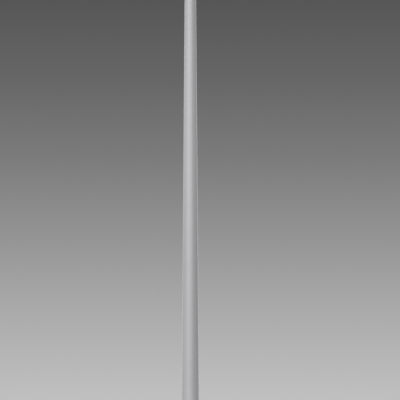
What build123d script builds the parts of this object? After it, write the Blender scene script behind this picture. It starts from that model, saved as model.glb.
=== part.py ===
from build123d import *

import os
from math import asin, cos, degrees, radians, sin, sqrt

# A 20 ft cone-tapered aluminium flagpole with an internal halyard, on a cast shoe base.
#
# Millimetres, +Z up. The origin is the centre of the shoe base's flat underside, which bolts down to a
# foundation. The halyard rises inside the shaft on its axis, passes up through the hollow spindle of the
# revolving truck, over the sheave, and falls outside on the +X side. The hand hole faces -Y.

os.makedirs("parts", exist_ok=True)

# ---------------------------------------------------------------------------------------------------
# Driving dimensions
# ---------------------------------------------------------------------------------------------------

# Shaft: one seamless tube, straight at the foot, then spun down to a cone
shaft_top = 6096.0  # base underside to the shaft's upper end
butt_diameter = 127.0
top_diameter = 76.2
shaft_wall = 3.2
taper_run = 66.0  # the diameter falls by 1 in this length
foot_setback = 6.0  # the shaft's foot stands this far above the base's underside

# Shoe base casting
plate_edge = 30.0  # anchor hole's centre to the plate's edge
plate_thickness = 20.0
plate_corner = 16.0
plate_edge_round = 4.0
anchor_standoff = 63.0  # anchor spacing is the butt's diameter and this
anchor_hole = 22.0
collar_height = 100.0
collar_top_wall = 9.0
collar_draft = 2.5  # how much thicker the collar's wall is at its foot
collar_flare = 15.0  # radius of the casting's sweep from collar to plate
collar_lip = 3.0
socket_clearance = 0.2

# Welds
weld_leg = 6.0
weld_clearance = 0.1

# Anchor nut covers
cover_size = 50.0
cover_height = 46.0
cover_wall = 3.0
cover_draft = 3.0  # degrees
cover_corner = 9.0
cover_top_round = 6.0

# Hand hole
hatch_height = 1067.0  # base underside to the middle of the hand hole
door_length = 190.0
door_width = 62.0
door_thickness = 4.0
door_gap = 0.8
ledge_width = 5.0
frame_wall = 9.0  # door's rebate to the frame's outer edge
frame_proud = 3.0  # frame stands out of the shaft's surface
frame_depth = 12.0  # along the radius
frame_clearance = 0.15
frame_edge_round = 1.2
lock_diameter = 19.0
lock_proud = 1.2
lock_from_top = 42.0
lock_stud = 8.0
lock_stud_tail = 4.0  # beyond the cam
latch_width = 16.0  # of the lock's cam and of the door's tongue
latch_thickness = 3.0
latch_overlap = 6.0  # behind the frame's ledge
tongue_root = 8.0
tongue_clearance = 2.0  # to the ledge's edge

# Halyard cleat, inside the shaft and behind the hand hole
cleat_length = 130.0
cleat_height = 34.0  # from the shaft's wall to the face of its horns
cleat_width = 13.0
cleat_horn_radius = 6.5  # at the stem
cleat_tip_radius = 3.5
cleat_stem = 28.0
cleat_corner = 6.0
cleat_edge_round = 2.5
cleat_foot_length = 64.0
cleat_foot_width = 24.0
cleat_foot_thickness = 7.0
cleat_foot_corner = 8.0
cleat_below_hatch = 20.0  # its middle below the hand hole's

# Truck
face_gap = 0.1  # between flat faces that bear on each other
rope_diameter = 8.0
rope_hang_clearance = 5.0  # halyard's surface to the truck's skirt
ferrule_flange = 8.0
ferrule_overhang = 2.0
ferrule_length = 80.0
ferrule_clearance = 0.15
spindle_bore = 18.0
spindle_wall = 6.0
running_clearance = 0.08
thrust_thickness = 4.0
thrust_width = 12.0
retaining_thickness = 5.0
retaining_width = 4.0
skirt_wall = 4.0
skirt_clearance = 1.5
deck_thickness = 11.0
deck_round = 5.0
sheave_width = 14.0
sheave_rim = 6.0  # rim's height over the rope's centre line
rim_chamfer = 1.2
groove_clearance = 0.5  # groove's radius over the rope's
groove_wall = 4.0  # under the groove's floor
hub_wall = 5.0
web_draft = 1.5
sheave_side_clearance = 1.0
sheave_clearance = 5.0  # rim to the deck and to the crosshead
cheek_thickness = 9.0
cheek_margin = 8.0  # cheek's edge beyond the sheave's rim
cheek_edge_round = 2.0
crosshead_thickness = 11.0
axle_diameter = 12.0
axle_head_diameter = 20.0
axle_head_height = 6.0
axle_nut_height = 10.0
axle_tail = 3.0  # the axle's end beyond its nut
bush_wall = 2.5
guard_diameter = 6.0
guard_angle = 42.0  # degrees above the horizontal, on the halyard's falling side
guard_gap = 2.0
guard_proud = 1.0
guard_chamfer = 0.8

# Finial
stem_diameter = 12.7
stem_floor = 3.0  # left under the stem's blind hole
stem_reach = 25.0  # into the ball
stem_chamfer = 1.0
boss_diameter = 32.0
boss_height = 12.0
locknut_across_flats = 19.0
locknut_height = 8.0
ball_diameter = 127.0
ball_wall = 1.6
ball_neck = 30.0
ball_neck_height = 7.0
ball_neck_seat = 3.0  # the neck's end inside the ball
ball_seam = 0.3

# ---------------------------------------------------------------------------------------------------
# Values that follow
# ---------------------------------------------------------------------------------------------------

butt_radius = butt_diameter / 2
top_radius = top_diameter / 2
taper_start = shaft_top - (butt_diameter - top_diameter) * taper_run

socket_radius = butt_radius + socket_clearance
anchor_spacing = butt_diameter + anchor_standoff
plate_size = anchor_spacing + 2 * plate_edge


def shaft_radius(z):
    """The shaft's outer radius at a height."""
    return butt_radius - max(0.0, z - taper_start) / taper_run / 2


# ---------------------------------------------------------------------------------------------------
# Shoe base: a casting, bored through for the shaft
# ---------------------------------------------------------------------------------------------------

collar_top_radius = socket_radius + collar_top_wall
collar_foot_radius = collar_top_radius + collar_draft
flare_top = plate_thickness + collar_flare

with BuildPart() as shoe_base:
    with BuildSketch():
        RectangleRounded(plate_size, plate_size, plate_corner)
    extrude(amount=plate_thickness)
    plate_top_edges = shoe_base.faces().sort_by(Axis.Z)[-1].edges()
    fillet(plate_top_edges, plate_edge_round)
    with BuildSketch(Plane.XZ):
        with BuildLine():
            Line((0, plate_thickness / 2), (collar_foot_radius + collar_flare, plate_thickness / 2))
            Line(
                (collar_foot_radius + collar_flare, plate_thickness / 2),
                (collar_foot_radius + collar_flare, plate_thickness),
            )
            CenterArc((collar_foot_radius + collar_flare, flare_top), collar_flare, 180, 90)
            Line((collar_foot_radius, flare_top), (collar_top_radius, collar_height - collar_lip))
            CenterArc((collar_top_radius - collar_lip, collar_height - collar_lip), collar_lip, 0, 90)
            Line((collar_top_radius - collar_lip, collar_height), (0, collar_height))
            Line((0, collar_height), (0, plate_thickness / 2))
        make_face()
    revolve(axis=Axis.Z)
    Hole(socket_radius)
    with GridLocations(anchor_spacing, anchor_spacing, 2, 2):
        Hole(anchor_hole / 2)
shoe_base.part.label = "shoe_base"
export_step(shoe_base.part, "parts/shoe_base.step")

# ---------------------------------------------------------------------------------------------------
# Anchor nut covers: hollow drafted boxes over the corner nuts
# ---------------------------------------------------------------------------------------------------

cover_places = {
    "nut_cover_front_left": (-1, -1),
    "nut_cover_front_right": (1, -1),
    "nut_cover_back_left": (-1, 1),
    "nut_cover_back_right": (1, 1),
}
cover_inner = cover_size - 2 * cover_wall


def drafted_block(foot, size, height, corner_radius):
    """A square block on its foot's centre, with drafted sides and rounded corners."""
    with BuildPart() as block:
        with BuildSketch(Plane(origin=foot)):
            Rectangle(size, size)
        extrude(amount=height, taper=cover_draft)
        fillet(block.edges().group_by(Axis.Z)[1], corner_radius)
    return block.part


for cover_name, (side_x, side_y) in cover_places.items():
    cover_foot = (side_x * anchor_spacing / 2, side_y * anchor_spacing / 2, plate_thickness)
    outside = drafted_block(cover_foot, cover_size, cover_height, cover_corner)
    cavity = drafted_block(cover_foot, cover_inner, cover_height - cover_wall, cover_corner - cover_wall)
    with BuildPart() as nut_cover:
        add(outside)
        fillet(nut_cover.faces().sort_by(Axis.Z)[-1].edges(), cover_top_round)
        add(cavity, mode=Mode.SUBTRACT)
    nut_cover.part.label = cover_name
    export_step(nut_cover.part, f"parts/{cover_name}.step")

# ---------------------------------------------------------------------------------------------------
# Welds: fillets that join the shaft to the casting, above the collar and under the shaft's foot
# ---------------------------------------------------------------------------------------------------

weld_inner = shaft_radius(collar_height) + weld_clearance
weld_outer = collar_top_radius - collar_lip

with BuildPart() as collar_weld:
    with BuildSketch(Plane.XZ):
        with BuildLine():
            Line((weld_inner, collar_height + weld_clearance), (weld_outer, collar_height + weld_clearance))
            SagittaArc(
                (weld_outer, collar_height + weld_clearance),
                (weld_inner, collar_height + weld_leg),
                -weld_leg / 8,
            )
            Line((weld_inner, collar_height + weld_leg), (weld_inner, collar_height + weld_clearance))
        make_face()
    revolve(axis=Axis.Z)
collar_weld.part.label = "collar_weld"
export_step(collar_weld.part, "parts/collar_weld.step")

with BuildPart() as foot_weld:
    with BuildSketch(Plane.XZ):
        with BuildLine():
            Polyline(
                (butt_radius, foot_setback - weld_clearance),
                (butt_radius - shaft_wall, foot_setback - weld_clearance),
                (butt_radius, foot_setback - weld_clearance - shaft_wall),
                close=True,
            )
        make_face()
    revolve(axis=Axis.Z)
foot_weld.part.label = "foot_weld"
export_step(foot_weld.part, "parts/foot_weld.step")

# ---------------------------------------------------------------------------------------------------
# Shaft: the tapered tube, with the hand hole cut through its front
# ---------------------------------------------------------------------------------------------------

frame_outer_radius = butt_radius + frame_proud
rebate_length = door_length + 2 * door_gap
rebate_width = door_width + 2 * door_gap
frame_length = rebate_length + 2 * frame_wall
frame_width = rebate_width + 2 * frame_wall
hatch_plane = Plane(origin=(0, 0, hatch_height), x_dir=(1, 0, 0), z_dir=(0, -1, 0))

with BuildPart() as shaft:
    with BuildSketch(Plane.XZ):
        with BuildLine():
            Polyline(
                (butt_radius - shaft_wall, foot_setback),
                (butt_radius, foot_setback),
                (butt_radius, taper_start),
                (top_radius, shaft_top),
                (top_radius - shaft_wall, shaft_top),
                (butt_radius - shaft_wall, taper_start),
                close=True,
            )
        make_face()
    revolve(axis=Axis.Z)
    with BuildSketch(hatch_plane):
        SlotOverall(frame_length + 2 * frame_clearance, frame_width + 2 * frame_clearance, rotation=90)
    extrude(amount=frame_outer_radius, mode=Mode.SUBTRACT)
shaft.part.label = "shaft"
export_step(shaft.part, "parts/shaft.step")

# ---------------------------------------------------------------------------------------------------
# Hand hole: a reinforcing frame let into the shaft, a curved door in its rebate, and the door's lock
# ---------------------------------------------------------------------------------------------------

ledge_radius = frame_outer_radius - door_thickness
frame_inner_radius = frame_outer_radius - frame_depth
ledge_half_length = rebate_length / 2 - ledge_width
latch_face = sqrt(frame_inner_radius**2 - (latch_width / 2) ** 2) - face_gap
hatch_foot_plane = Plane.XY.offset(hatch_height - frame_length)

with BuildPart() as rebate:
    with BuildSketch(hatch_plane):
        SlotOverall(rebate_length, rebate_width, rotation=90)
    extrude(amount=frame_outer_radius)
    with BuildSketch(hatch_foot_plane):
        Circle(ledge_radius - door_gap / 4)
    extrude(amount=2 * frame_length, mode=Mode.SUBTRACT)

with BuildPart() as hatch_frame:
    with BuildSketch(hatch_plane):
        SlotOverall(frame_length, frame_width, rotation=90)
        SlotOverall(
            rebate_length - 2 * ledge_width,
            rebate_width - 2 * ledge_width,
            rotation=90,
            mode=Mode.SUBTRACT,
        )
    extrude(amount=frame_outer_radius)
    with BuildSketch(hatch_foot_plane):
        Circle(frame_outer_radius)
        Circle(frame_inner_radius, mode=Mode.SUBTRACT)
    extrude(amount=2 * frame_length, mode=Mode.INTERSECT)
    add(rebate.part, mode=Mode.SUBTRACT)
    frame_face = hatch_frame.faces().sort_by(Axis.Y)[0]
    fillet(frame_face.outer_wire().edges(), frame_edge_round)
hatch_frame.part.label = "hatch_frame"
export_step(hatch_frame.part, "parts/hatch_frame.step")

lock_height = hatch_height + door_length / 2 - lock_from_top
lock_plane = Plane(origin=(0, 0, lock_height), x_dir=(1, 0, 0), z_dir=(0, -1, 0))
ledge_foot = hatch_height - ledge_half_length
tongue_foot = ledge_foot + tongue_clearance

with BuildPart() as hatch_door:
    with BuildSketch(hatch_plane):
        SlotOverall(door_length, door_width, rotation=90)
    extrude(amount=frame_outer_radius)
    with BuildSketch(hatch_foot_plane):
        Circle(frame_outer_radius)
        Circle(ledge_radius, mode=Mode.SUBTRACT)
    extrude(amount=2 * frame_length, mode=Mode.INTERSECT)
    with BuildSketch(lock_plane):
        Circle(lock_diameter / 2 + frame_clearance)
    extrude(amount=frame_outer_radius, mode=Mode.SUBTRACT)
    # tongue that hooks behind the ledge at the foot
    with BuildSketch(Plane.YZ):
        with BuildLine():
            Polyline(
                (-ledge_radius - door_thickness / 2, tongue_foot),
                (-latch_face, tongue_foot),
                (-latch_face, ledge_foot - latch_overlap),
                (latch_thickness - latch_face, ledge_foot - latch_overlap),
                (latch_thickness - latch_face, tongue_foot + tongue_root),
                (-ledge_radius - door_thickness / 2, tongue_foot + tongue_root),
                close=True,
            )
        make_face()
    extrude(amount=latch_width / 2, both=True)
hatch_door.part.label = "hatch_door"
export_step(hatch_door.part, "parts/hatch_door.step")

with BuildPart() as hatch_lock:
    with BuildSketch(lock_plane.offset(frame_outer_radius + lock_proud)):
        Circle(lock_diameter / 2)
    extrude(amount=latch_face + face_gap - frame_outer_radius - lock_proud)
    with BuildSketch(lock_plane.offset(latch_face + face_gap)):
        Circle(lock_stud / 2)
    extrude(amount=-face_gap - latch_thickness - lock_stud_tail)
    chamfer(hatch_lock.faces().sort_by(Axis.Y)[0].edges(), lock_proud / 2)
hatch_lock.part.label = "hatch_lock"
export_step(hatch_lock.part, "parts/hatch_lock.step")

cam_foot = lock_height - latch_width / 2
cam_head = hatch_height + ledge_half_length + latch_overlap

with BuildPart() as lock_cam:
    with BuildSketch(lock_plane.offset(latch_face)):
        with Locations((0, (cam_foot + cam_head) / 2 - lock_height)):
            SlotOverall(cam_head - cam_foot, latch_width, rotation=90)
        Circle(lock_stud / 2 + face_gap, mode=Mode.SUBTRACT)
    extrude(amount=-latch_thickness)
lock_cam.part.label = "lock_cam"
export_step(lock_cam.part, "parts/lock_cam.step")

# ---------------------------------------------------------------------------------------------------
# Halyard cleat: a two-horned casting on the shaft's back wall, reached through the hand hole
# ---------------------------------------------------------------------------------------------------

cleat_z = hatch_height - cleat_below_hatch
cleat_seat = shaft_radius(cleat_z + cleat_foot_length / 2) - shaft_wall - face_gap
horn_y = cleat_seat - cleat_height + cleat_horn_radius
tip_y = horn_y - cleat_horn_radius + cleat_tip_radius
tip_reach = cleat_length / 2 - cleat_tip_radius

with BuildPart() as halyard_cleat:
    # stem and horns, drawn from the side
    with BuildSketch(Plane.YZ):
        with Locations((horn_y, cleat_z - cleat_stem / 2), (horn_y, cleat_z + cleat_stem / 2)):
            Circle(cleat_horn_radius)
        with Locations((tip_y, cleat_z - tip_reach), (tip_y, cleat_z + tip_reach)):
            Circle(cleat_tip_radius)
        make_hull()
        with Locations(((horn_y + cleat_seat) / 2, cleat_z)):
            Rectangle(cleat_seat - horn_y, cleat_stem)
    extrude(amount=cleat_width / 2, both=True)
    stem_corners = halyard_cleat.edges().filter_by(Axis.X).filter_by_position(
        Axis.Y, horn_y + cleat_horn_radius / 2, horn_y + 2 * cleat_horn_radius
    )
    fillet(stem_corners, cleat_corner)
    side_faces = halyard_cleat.faces().sort_by(Axis.X)
    fillet(side_faces[0].edges() + side_faces[-1].edges(), cleat_edge_round)
    # foot, shaped to the shaft's wall
    with BuildSketch(Plane.XZ.offset(cleat_foot_thickness - cleat_seat)):
        with Locations((0, cleat_z)):
            RectangleRounded(cleat_foot_width, cleat_foot_length, cleat_foot_corner)
    extrude(amount=-cleat_foot_thickness)
    with BuildSketch(Plane.XY.offset(cleat_z - cleat_length)):
        Circle(cleat_seat)
    extrude(amount=2 * cleat_length, mode=Mode.INTERSECT)
halyard_cleat.part.label = "halyard_cleat"
export_step(halyard_cleat.part, "parts/halyard_cleat.step")

# ---------------------------------------------------------------------------------------------------
# Ferrule: the fixed sleeve in the shaft's top, whose plug follows the shaft's taper
# ---------------------------------------------------------------------------------------------------

spindle_radius = spindle_bore / 2 + spindle_wall
ferrule_bore_radius = spindle_radius + running_clearance
flange_radius = top_radius + ferrule_overhang
flange_top = shaft_top + ferrule_flange
ferrule_foot = shaft_top - ferrule_length
bore_clearance = shaft_wall + ferrule_clearance

with BuildPart() as top_ferrule:
    with BuildSketch(Plane.XZ):
        with BuildLine():
            Polyline(
                (ferrule_bore_radius, ferrule_foot),
                (shaft_radius(ferrule_foot) - bore_clearance, ferrule_foot),
                (top_radius - bore_clearance, shaft_top + ferrule_clearance),
                (flange_radius, shaft_top + ferrule_clearance),
                (flange_radius, flange_top),
                (ferrule_bore_radius, flange_top),
                close=True,
            )
        make_face()
    revolve(axis=Axis.Z)
    rim_edges = top_ferrule.edges().filter_by(GeomType.CIRCLE).group_by(SortBy.RADIUS)[-1]
    chamfer(rim_edges.sort_by(Axis.Z)[-1], ferrule_overhang / 2)
top_ferrule.part.label = "top_ferrule"
export_step(top_ferrule.part, "parts/top_ferrule.step")

# ---------------------------------------------------------------------------------------------------
# Thrust ring under the truck, and the ring that keeps its spindle in the ferrule
# ---------------------------------------------------------------------------------------------------

with BuildPart() as thrust_ring:
    with BuildSketch(Plane.XY.offset(flange_top + face_gap)):
        Circle(ferrule_bore_radius + thrust_width)
        Circle(ferrule_bore_radius, mode=Mode.SUBTRACT)
    extrude(amount=thrust_thickness)
thrust_ring.part.label = "thrust_ring"
export_step(thrust_ring.part, "parts/thrust_ring.step")

spindle_foot = ferrule_foot - 2 * retaining_thickness

with BuildPart() as retaining_ring:
    with BuildSketch(Plane.XY.offset(ferrule_foot - face_gap)):
        Circle(spindle_radius + retaining_width)
        Circle(spindle_radius + running_clearance, mode=Mode.SUBTRACT)
    extrude(amount=-retaining_thickness)
retaining_ring.part.label = "retaining_ring"
export_step(retaining_ring.part, "parts/retaining_ring.step")

# ---------------------------------------------------------------------------------------------------
# Truck: one casting with a hollow spindle, a weather skirt, two cheeks, a crosshead and the stem's boss.
# The sheave's pitch circle touches the pole's axis on one side and hangs the halyard clear on the other.
# ---------------------------------------------------------------------------------------------------

rope_radius = rope_diameter / 2
skirt_inner_radius = flange_radius + skirt_clearance
skirt_outer_radius = skirt_inner_radius + skirt_wall
pitch_radius = (skirt_outer_radius + rope_hang_clearance + rope_radius) / 2
sheave_radius = pitch_radius + sheave_rim
sheave_x = pitch_radius

deck_underside = flange_top + thrust_thickness + 2 * face_gap
deck_top = deck_underside + deck_thickness
skirt_foot = flange_top - ferrule_flange / 2
sheave_z = deck_top + sheave_clearance + sheave_radius
crosshead_underside = sheave_z + sheave_radius + sheave_clearance
crosshead_top = crosshead_underside + crosshead_thickness
slot_width = sheave_width + 2 * sheave_side_clearance
head_width = slot_width + 2 * cheek_thickness
boss_radius = boss_diameter / 2
boss_top = crosshead_top + boss_height
guard_reach = sheave_radius + guard_gap + guard_diameter / 2
guard_x = sheave_x + guard_reach * cos(radians(guard_angle))
guard_z = sheave_z + guard_reach * sin(radians(guard_angle))
cheek_foot_half = sqrt(skirt_outer_radius**2 - (head_width / 2) ** 2) - deck_round
front_face = Plane.XZ.offset(head_width / 2)
stem_hole_radius = stem_diameter / 2 + face_gap
stem_hole_floor = crosshead_underside + stem_floor

with BuildPart() as truck_body:
    # cheeks and crosshead, as one outline drawn round the sheave, the deck and the boss
    with BuildSketch(front_face):
        with Locations((sheave_x, sheave_z)):
            Circle(sheave_radius + cheek_margin)
        with Locations((0, deck_top - deck_thickness / 4)):
            Rectangle(2 * cheek_foot_half, deck_thickness / 2)
        with Locations((0, crosshead_top - crosshead_thickness / 2)):
            Rectangle(2 * boss_radius, crosshead_thickness)
        make_hull()
    extrude(amount=-head_width)
    outer_faces = truck_body.faces().sort_by(Axis.Y)
    fillet(outer_faces[0].edges() + outer_faces[-1].edges(), cheek_edge_round)
    # slot for the sheave
    slot_height = crosshead_underside - deck_top
    with BuildSketch(Plane.XY.offset(deck_top)):
        Rectangle(4 * sheave_radius + 4 * skirt_outer_radius, slot_width)
    extrude(amount=slot_height, mode=Mode.SUBTRACT)
    # deck, skirt and spindle
    with BuildSketch(Plane.XZ):
        with BuildLine():
            Polyline(
                (0, spindle_foot),
                (spindle_radius, spindle_foot),
                (spindle_radius, deck_underside),
                (skirt_inner_radius, deck_underside),
                (skirt_inner_radius, skirt_foot),
                (skirt_outer_radius, skirt_foot),
                (skirt_outer_radius, deck_top - deck_round),
            )
            CenterArc((skirt_outer_radius - deck_round, deck_top - deck_round), deck_round, 0, 90)
            Polyline((skirt_outer_radius - deck_round, deck_top), (0, deck_top), (0, spindle_foot))
        make_face()
    revolve(axis=Axis.Z)
    # boss for the finial's stem
    with BuildSketch(Plane.XY.offset(crosshead_top - crosshead_thickness / 2)):
        Circle(boss_radius)
    extrude(amount=boss_height + crosshead_thickness / 2)
    # bores: the halyard's way up, the stem's hole, the axle's and the guard's
    with BuildSketch(Plane.XY.offset(spindle_foot)):
        Circle(spindle_bore / 2)
    extrude(amount=deck_top - spindle_foot, mode=Mode.SUBTRACT)
    with BuildSketch(Plane.XY.offset(boss_top)):
        Circle(stem_hole_radius)
    extrude(amount=stem_hole_floor - boss_top, mode=Mode.SUBTRACT)
    with BuildSketch(front_face):
        with Locations((sheave_x, sheave_z)):
            Circle(axle_diameter / 2 + face_gap)
        with Locations((guard_x, guard_z)):
            Circle(guard_diameter / 2 + face_gap)
    extrude(amount=-head_width, mode=Mode.SUBTRACT)
truck_body.part.label = "truck_body"
export_step(truck_body.part, "parts/truck_body.step")

# ---------------------------------------------------------------------------------------------------
# Sheave, its bush, its axle with washers and nut, and the rope guard
# ---------------------------------------------------------------------------------------------------

groove_radius = rope_radius + groove_clearance
groove_floor = pitch_radius - groove_radius
bush_radius = axle_diameter / 2 + running_clearance + bush_wall
hub_radius = bush_radius + hub_wall
web_outer_radius = groove_floor - groove_wall
half_width = sheave_width / 2
half_web = half_width / 2
flank_half_width = half_width - rim_chamfer
axle_plane = Plane(origin=(sheave_x, 0, sheave_z), x_dir=(1, 0, 0), z_dir=(0, -1, 0))
axle_axis = Axis((sheave_x, 0, sheave_z), (0, 1, 0))
section_plane = Plane(origin=(sheave_x, 0, sheave_z), x_dir=(0, 1, 0), z_dir=(1, 0, 0))

with BuildPart() as sheave:
    with BuildSketch(section_plane):
        with BuildLine():
            Polyline(
                (-flank_half_width, sheave_radius),
                (-half_width, sheave_radius - rim_chamfer),
                (-half_width, web_outer_radius),
                (-half_web, web_outer_radius - web_draft),
                (-half_web, hub_radius + web_draft),
                (-half_width, hub_radius),
                (-half_width, bush_radius + running_clearance),
                (half_width, bush_radius + running_clearance),
                (half_width, hub_radius),
                (half_web, hub_radius + web_draft),
                (half_web, web_outer_radius - web_draft),
                (half_width, web_outer_radius),
                (half_width, sheave_radius - rim_chamfer),
                (flank_half_width, sheave_radius),
            )
            Line((flank_half_width, sheave_radius), (groove_radius, pitch_radius))
            CenterArc((0, pitch_radius), groove_radius, 0, -180)
            Line((-groove_radius, pitch_radius), (-flank_half_width, sheave_radius))
        make_face()
    revolve(axis=axle_axis)
sheave.part.label = "sheave"
export_step(sheave.part, "parts/sheave.step")

with BuildPart() as sheave_bush:
    with BuildSketch(axle_plane.offset(-half_width)):
        Circle(bush_radius)
        Circle(axle_diameter / 2 + running_clearance, mode=Mode.SUBTRACT)
    extrude(amount=sheave_width)
sheave_bush.part.label = "sheave_bush"
export_step(sheave_bush.part, "parts/sheave_bush.step")

washer_thickness = sheave_side_clearance - 2 * face_gap
washer_starts = {
    "axle_washer_front": half_width + face_gap,
    "axle_washer_back": -half_width - face_gap - washer_thickness,
}
for washer_name, washer_start in washer_starts.items():
    with BuildPart() as axle_washer:
        with BuildSketch(axle_plane.offset(washer_start)):
            Circle(hub_radius)
            Circle(axle_diameter / 2 + running_clearance, mode=Mode.SUBTRACT)
        extrude(amount=washer_thickness)
    axle_washer.part.label = washer_name
    export_step(axle_washer.part, f"parts/{washer_name}.step")

axle_length = head_width + 2 * face_gap + axle_nut_height + axle_tail

with BuildPart() as sheave_axle:
    with BuildSketch(axle_plane.offset(head_width / 2 + face_gap)):
        Circle(axle_diameter / 2)
    extrude(amount=-axle_length)
    with BuildSketch(axle_plane.offset(head_width / 2 + face_gap)):
        Circle(axle_head_diameter / 2)
    extrude(amount=axle_head_height)
    fillet(sheave_axle.faces().sort_by(Axis.Y)[0].edges(), axle_head_height / 3)
    chamfer(sheave_axle.faces().sort_by(Axis.Y)[-1].edges(), axle_tail / 3)
sheave_axle.part.label = "sheave_axle"
export_step(sheave_axle.part, "parts/sheave_axle.step")

with BuildPart() as axle_nut:
    with BuildSketch(axle_plane.offset(-head_width / 2 - face_gap)):
        RegularPolygon(locknut_across_flats / 2, 6, major_radius=False)
        Circle(axle_diameter / 2 + face_gap, mode=Mode.SUBTRACT)
    extrude(amount=-axle_nut_height)
axle_nut.part.label = "axle_nut"
export_step(axle_nut.part, "parts/axle_nut.step")

guard_plane = Plane(origin=(guard_x, 0, guard_z), z_dir=(0, -1, 0))

with BuildPart() as rope_guard:
    with BuildSketch(guard_plane.offset(-head_width / 2 - guard_proud)):
        Circle(guard_diameter / 2)
    extrude(amount=head_width + 2 * guard_proud)
    chamfer(rope_guard.edges().filter_by(GeomType.CIRCLE), guard_chamfer)
rope_guard.part.label = "rope_guard"
export_step(rope_guard.part, "parts/rope_guard.step")

# ---------------------------------------------------------------------------------------------------
# Finial: a spun ball in two halves, screwed on a stem and locked by a nut
# ---------------------------------------------------------------------------------------------------

ball_radius = ball_diameter / 2
neck_radius = ball_neck / 2
locknut_top = boss_top + face_gap + locknut_height
neck_foot = locknut_top + face_gap
neck_top = neck_foot + ball_neck_height
ball_z = neck_top + sqrt(ball_radius**2 - neck_radius**2)
stem_foot = stem_hole_floor + face_gap
stem_top = neck_top + stem_reach
pole_angle = degrees(asin(neck_radius / 2 / ball_radius))
inner_radius = ball_radius - ball_wall

with BuildPart() as finial_stem:
    with BuildSketch(Plane.XY.offset(stem_foot)):
        Circle(stem_diameter / 2)
    extrude(amount=stem_top - stem_foot)
    chamfer(finial_stem.edges().filter_by(GeomType.CIRCLE), stem_chamfer)
finial_stem.part.label = "finial_stem"
export_step(finial_stem.part, "parts/finial_stem.step")

with BuildPart() as finial_locknut:
    with BuildSketch(Plane.XY.offset(boss_top + face_gap)):
        RegularPolygon(locknut_across_flats / 2, 6, major_radius=False)
        Circle(stem_hole_radius, mode=Mode.SUBTRACT)
    extrude(amount=locknut_height)
finial_locknut.part.label = "finial_locknut"
export_step(finial_locknut.part, "parts/finial_locknut.step")

with BuildPart() as ball_lower:
    # neck: a turned collar that carries the lower half
    with BuildSketch(Plane.XY.offset(neck_foot)):
        Circle(neck_radius)
    extrude(amount=ball_neck_height + ball_wall + ball_neck_seat)
    # lower half: a spun cup
    with BuildSketch(Plane.XZ):
        with BuildLine():
            cup_outer = CenterArc((0, ball_z), ball_radius, -90 + pole_angle, 90 - pole_angle)
            cup_inner = CenterArc((0, ball_z), inner_radius, -90 + pole_angle, 90 - pole_angle)
            Line(cup_outer @ 0, cup_inner @ 0)
            Line(cup_outer @ 1, cup_inner @ 1)
        make_face()
    revolve(axis=Axis.Z)
    with BuildSketch(Plane.XY.offset(neck_foot)):
        Circle(stem_hole_radius)
    extrude(amount=ball_radius, mode=Mode.SUBTRACT)
ball_lower.part.label = "ball_lower"
export_step(ball_lower.part, "parts/ball_lower.step")

with BuildPart() as ball_upper:
    with BuildSketch(Plane.XZ):
        with BuildLine():
            dome_outer = CenterArc((0, ball_z + ball_seam), ball_radius, 0, 90)
            dome_inner = CenterArc((0, ball_z + ball_seam), inner_radius, 0, 90)
            Line(dome_outer @ 0, dome_inner @ 0)
            Line(dome_outer @ 1, dome_inner @ 1)
        make_face()
    revolve(axis=Axis.Z)
ball_upper.part.label = "ball_upper"
export_step(ball_upper.part, "parts/ball_upper.step")
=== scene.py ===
from math import cos, hypot, pi, radians, sin

import bmesh
import bpy
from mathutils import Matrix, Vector


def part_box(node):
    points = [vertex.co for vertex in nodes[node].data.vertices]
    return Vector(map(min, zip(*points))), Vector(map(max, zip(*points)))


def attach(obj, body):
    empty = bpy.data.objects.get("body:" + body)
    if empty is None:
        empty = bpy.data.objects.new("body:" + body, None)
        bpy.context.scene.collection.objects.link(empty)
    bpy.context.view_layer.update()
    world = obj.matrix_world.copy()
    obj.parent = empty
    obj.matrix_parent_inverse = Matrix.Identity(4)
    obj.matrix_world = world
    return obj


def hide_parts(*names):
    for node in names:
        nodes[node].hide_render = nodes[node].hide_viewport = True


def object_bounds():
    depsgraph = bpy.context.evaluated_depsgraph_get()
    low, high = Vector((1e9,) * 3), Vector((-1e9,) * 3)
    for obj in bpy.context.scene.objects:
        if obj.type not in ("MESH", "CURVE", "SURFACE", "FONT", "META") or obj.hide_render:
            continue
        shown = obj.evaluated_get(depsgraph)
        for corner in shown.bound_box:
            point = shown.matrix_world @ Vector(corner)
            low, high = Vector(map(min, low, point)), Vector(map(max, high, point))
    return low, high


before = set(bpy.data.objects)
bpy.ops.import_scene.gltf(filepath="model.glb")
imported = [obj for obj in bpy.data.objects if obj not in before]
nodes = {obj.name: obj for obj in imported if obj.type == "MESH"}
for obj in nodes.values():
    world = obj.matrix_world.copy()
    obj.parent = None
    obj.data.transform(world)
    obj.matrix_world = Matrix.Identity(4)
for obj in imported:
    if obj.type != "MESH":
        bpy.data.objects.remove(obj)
cad_low, cad_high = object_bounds()
scene = bpy.context.scene

# ---------------------------------------------------------------------------------------------------
# Camera. A long lens, level with the middle of the tapered stretch of the shaft, which stands a little
# left of the middle of the view. Both ends of the pole run out of it.
# ---------------------------------------------------------------------------------------------------

stretch_shown = 2.74  # of the shaft, from the view's foot to its head
camera_height = 4.538
camera_aside = 0.066
lens = bpy.data.cameras.new("long_lens")
lens.lens = 200
lens.sensor_width = 36
lens.clip_end = 400
camera = bpy.data.objects.new("camera", lens)
camera.location = (camera_aside, -stretch_shown * lens.lens / lens.sensor_width, camera_height)
camera.rotation_euler = (pi / 2, 0, 0)
scene.collection.objects.link(camera)
scene.camera = camera
scene.view_settings.view_transform = "Standard"

# ---------------------------------------------------------------------------------------------------
# Backdrop. A seamless studio sweep behind and below, graded from pale grey at the foot to dark grey at
# the top under a pale ceiling, which the metal mirrors too. As light it is one plain grey.
# ---------------------------------------------------------------------------------------------------


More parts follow.
